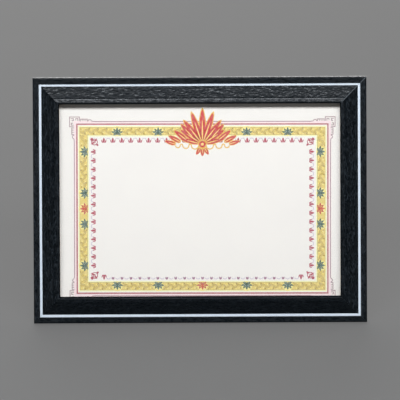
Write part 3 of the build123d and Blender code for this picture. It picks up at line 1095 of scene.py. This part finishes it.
CREST_FOOT = (0, 66.3)
CREST_PETALS = (  # lean, length and width
    (0, 35.0, 8.0),
    (19, 33.0, 7.6),
    (38, 29.0, 7.2),
    (57, 25.0, 6.4),
    (76, 21.0, 5.6),
)
CREST_LEAVES = (  # foot, lean, length and width
    ((9, 6), 42, 20, 6.5),
    ((16, 4), 52, 17, 6),
    ((22, 2), 62, 15, 5.4),
    ((27, 0), 74, 12, 4.8),
)
CREST_DROPS = (150, 180, 210)  # leans of the petals that hang down
DROP_SIZE = (8.5, 4.4)
PETAL_FEET = 3.2  # from the middle of the eye
DROP_FEET = 4.0
CREST_EYE = (  # ink, radius and sides
    ("crest_gold", 4.6, 18),
    ("crest_red", 3.4, 18),
    ("crest_light", 1.5, 12),
)
CREST_RIM = 0.16  # gold at a petal's foot, as a share of its width
CREST_FILL = (0.9, 0.76)  # length and width, as shares of the petal's
CREST_VEIN = (0.6, 0.16)
TENDRIL_LOOPS = ((7.6, 3.8), (17.0, 3.2), (25.2, 2.4))  # place and radius of the loops that hang below
TENDRIL_HEIGHT = -1.2
TENDRIL_WIDTH = 1.2
LOOP_STEPS = 12


def crest_petal(place, foot, turn, length, width):
    """A red petal edged and veined with gold."""
    petal("crest_gold", place, foot, turn, length, width)
    inner = Vector(foot) + leaning(turn, width * CREST_RIM)
    for ink_name, (long, wide) in (("crest_red", CREST_FILL), ("crest_light", CREST_VEIN)):
        petal(ink_name, place, inner, turn, length * long, width * wide)


def draw_tendril(place):
    """A waving tendril from the crest's eye to its outer leaves."""
    for x, radius in TENDRIL_LOOPS:
        arc("crest_gold", place, (x, TENDRIL_HEIGHT), radius, TENDRIL_WIDTH, 180, 180, LOOP_STEPS)
    for (before, first), (after, second) in zip(TENDRIL_LOOPS, TENDRIL_LOOPS[1:]):
        left, right = before + first, after - second
        middle = ((left + right) / 2, TENDRIL_HEIGHT)
        arc("crest_gold", place, middle, (right - left) / 2, TENDRIL_WIDTH, 0, 180, HALF_STEPS)


def draw_crest():
    """A palmette over the middle of the top side, with leaves that spread from its foot."""
    place = moved(*CREST_FOOT)
    for turn, length, width in reversed(CREST_PETALS):
        for half in BOTH_HALVES if turn else BOTH_HALVES[1:]:
            crest_petal(place @ half, leaning(turn, PETAL_FEET), turn, length, width)
    for half in BOTH_HALVES:
        for leaf in CREST_LEAVES:
            crest_petal(place @ half, *leaf)
        draw_tendril(place @ half)
    for turn in CREST_DROPS:
        crest_petal(place, leaning(turn, DROP_FEET), turn, *DROP_SIZE)
    for ink_name, radius, sides in CREST_EYE:
        disc(ink_name, place, (0, 0), radius, sides)


draw_lines()
for across, up in product((-1, 1), (-1, 1)):
    draw_key_corner(across, up)
    draw_roundel(across, up)
draw_florets()
draw_scrolls()
draw_lotuses()
draw_crest()
for name, (layer, colour) in INKS.items():
    bm = sheets[name]
    bmesh.ops.recalc_face_normals(bm, faces=bm.faces)
    top = bmesh.ops.extrude_face_region(bm, geom=bm.faces[:])["geom"]
    raised = [item for item in top if isinstance(item, bmesh.types.BMVert)]
    bmesh.ops.translate(bm, vec=(0, 0, INK_THICKNESS), verts=raised)
    bmesh.ops.translate(bm, vec=(0, 0, (layer + 1) * LAYER_STEP), verts=bm.verts)
    finished(f"print_{name}", bm, [ink(name, colour)], place=STANDING @ ON_SHEET)

# Floor, light and camera
FLOOR_REACH = 30.0
FLOOR_TONES = (linear(46, 46, 45), linear(50, 50, 49))
FLOOR_BOUNCE = linear(96, 96, 96)  # what the frame sees of the floor, as under a dark card
FLOOR_GLOW = linear(107, 107, 107)  # evens out the floor that the camera sees
KEY_DISTANCE = 1.75
KEY_ABOVE = radians(28.4)  # key light above the frame's own level
KEY_SIZE = (1.5, 0.36)
KEY_POWER = 38.0
KEY_TINT = (0.93, 0.985, 1.05)
BACK_FROM = (-0.2, 1.0, 0.25)
BACK_DISTANCE = 1.7
BACK_SIZE = (1.8, 1.1)
BACK_POWER = 20.0
SIDE_FROM = (1, 0.35, 0.5)  # on the right, and mirrored on the left
SIDE_DISTANCE = 1.7
SIDE_SIZE = (0.9, 0.7)
SIDE_POWER = 11.0
PLAIN_TINT = (1, 1, 1)
WORLD_LIGHT = 0.1
CAMERA_DISTANCE = 8000.0
CAMERA_ABOVE = radians(4.5)  # above the line that stands square on the leaning face
CAMERA_RISE = 0.29  # lifts the camera, so that the frame lies as low in the view as in the photograph
CAMERA_ROLL = radians(-0.27)
PHOTO_SIZE = 400  # pixels
FRAME_PIXELS = 333.6  # the frame's outer width in the photograph
SENSOR_WIDTH = 36.0
SIGHT_END = 100.0  # metres

centre = STANDING @ Vector((0, -OUTER_LIP_HEIGHT, MIDDLE_HEIGHT))
turn_up = LEANING.to_3x3()


def make_floor():
    """A plain floor that looks evenly lit to the camera and throws little light up at the frame."""
    bm = bmesh.new()
    bmesh.ops.create_grid(bm, x_segments=1, y_segments=1, size=FLOOR_REACH / 2)
    mesh = bpy.data.meshes.new("floor")
    bm.to_mesh(mesh)
    bm.free()
    material, tree, inputs = new_material("Pale_floor", Specular_IOR_Level=0.2)
    cloud = mottle(tree, (400, 400, 400), detail=2, contrast=1)
    feed(
        tree,
        inputs,
        Base_Color=mixed(tree, cloud, *FLOOR_TONES),
        Roughness=ranged(tree, cloud, 0.8, 0.9),
    )
    shader = tree.nodes["Principled BSDF"]
    dim = add(tree, "ShaderNodeBsdfDiffuse", {"Color": FLOOR_BOUNCE})
    seen = add(tree, "ShaderNodeLightPath").outputs["Is Camera Ray"]
    glow = add(tree, "ShaderNodeEmission", {"Color": FLOOR_GLOW})
    bright = add(tree, "ShaderNodeAddShader", {0: shader.outputs[0], 1: glow.outputs[0]})
    both = add(tree, "ShaderNodeMixShader", {0: seen, 1: dim.outputs[0], 2: bright.outputs[0]})
    tree.links.new(both.outputs[0], tree.nodes["Material Output"].inputs["Surface"])
    mesh.materials.append(material)
    link("floor", mesh)


def make_lamp(name, direction, distance, size, power, tint):
    """A soft light, width by height, that faces the frame from the given direction."""
    lamp = bpy.data.lights.new(name, "AREA")
    lamp.shape = "RECTANGLE"
    lamp.size, lamp.size_y = size
    lamp.energy = power
    lamp.color = tint
    holder = link(name, lamp)
    holder.location = centre + direction * distance
    holder.rotation_mode = "QUATERNION"
    holder.rotation_quaternion = (-direction).to_track_quat("-Z", "Y")
    holder.visible_camera = False


def make_camera():
    """Far off and a little above the face, so that its sides stay parallel and its top edge shows."""
    data = bpy.data.cameras.new("camera")
    data.sensor_width = SENSOR_WIDTH
    data.lens = SENSOR_WIDTH * FRAME_PIXELS / PHOTO_SIZE * CAMERA_DISTANCE / OUTER_WIDTH
    data.clip_end = SIGHT_END
    camera = link("camera", data)
    tilt = turn_up @ Matrix.Rotation(-CAMERA_ABOVE, 3, "X")
    aim = tilt @ Matrix.Rotation(pi / 2, 3, "X") @ Matrix.Rotation(CAMERA_ROLL, 3, "Z")
    camera.rotation_mode = "QUATERNION"
    camera.rotation_quaternion = aim.to_quaternion()
    camera.location = centre + tilt @ Vector((0, -CAMERA_DISTANCE, CAMERA_RISE)) / 1000
    bpy.context.scene.camera = camera


make_floor()
key_direction = turn_up @ Vector((0, -cos(KEY_ABOVE), sin(KEY_ABOVE)))
back_direction = Vector(BACK_FROM).normalized()
make_lamp("key_light", key_direction, KEY_DISTANCE, KEY_SIZE, KEY_POWER, KEY_TINT)
make_lamp("back_light", back_direction, BACK_DISTANCE, BACK_SIZE, BACK_POWER, PLAIN_TINT)
for name, across in (("left_light", -1), ("right_light", 1)):
    side_direction = turn_up @ Vector(SIDE_FROM).normalized()
    side_direction.x *= across
    make_lamp(name, side_direction, SIDE_DISTANCE, SIDE_SIZE, SIDE_POWER, PLAIN_TINT)
make_camera()
world = bpy.data.worlds.new("studio")
world.use_nodes = True
background = world.node_tree.nodes["Background"]
background.inputs["Color"].default_value = (WORLD_LIGHT, WORLD_LIGHT, WORLD_LIGHT, 1)
bpy.context.scene.world = world
bpy.context.scene.view_settings.view_transform = "Standard"
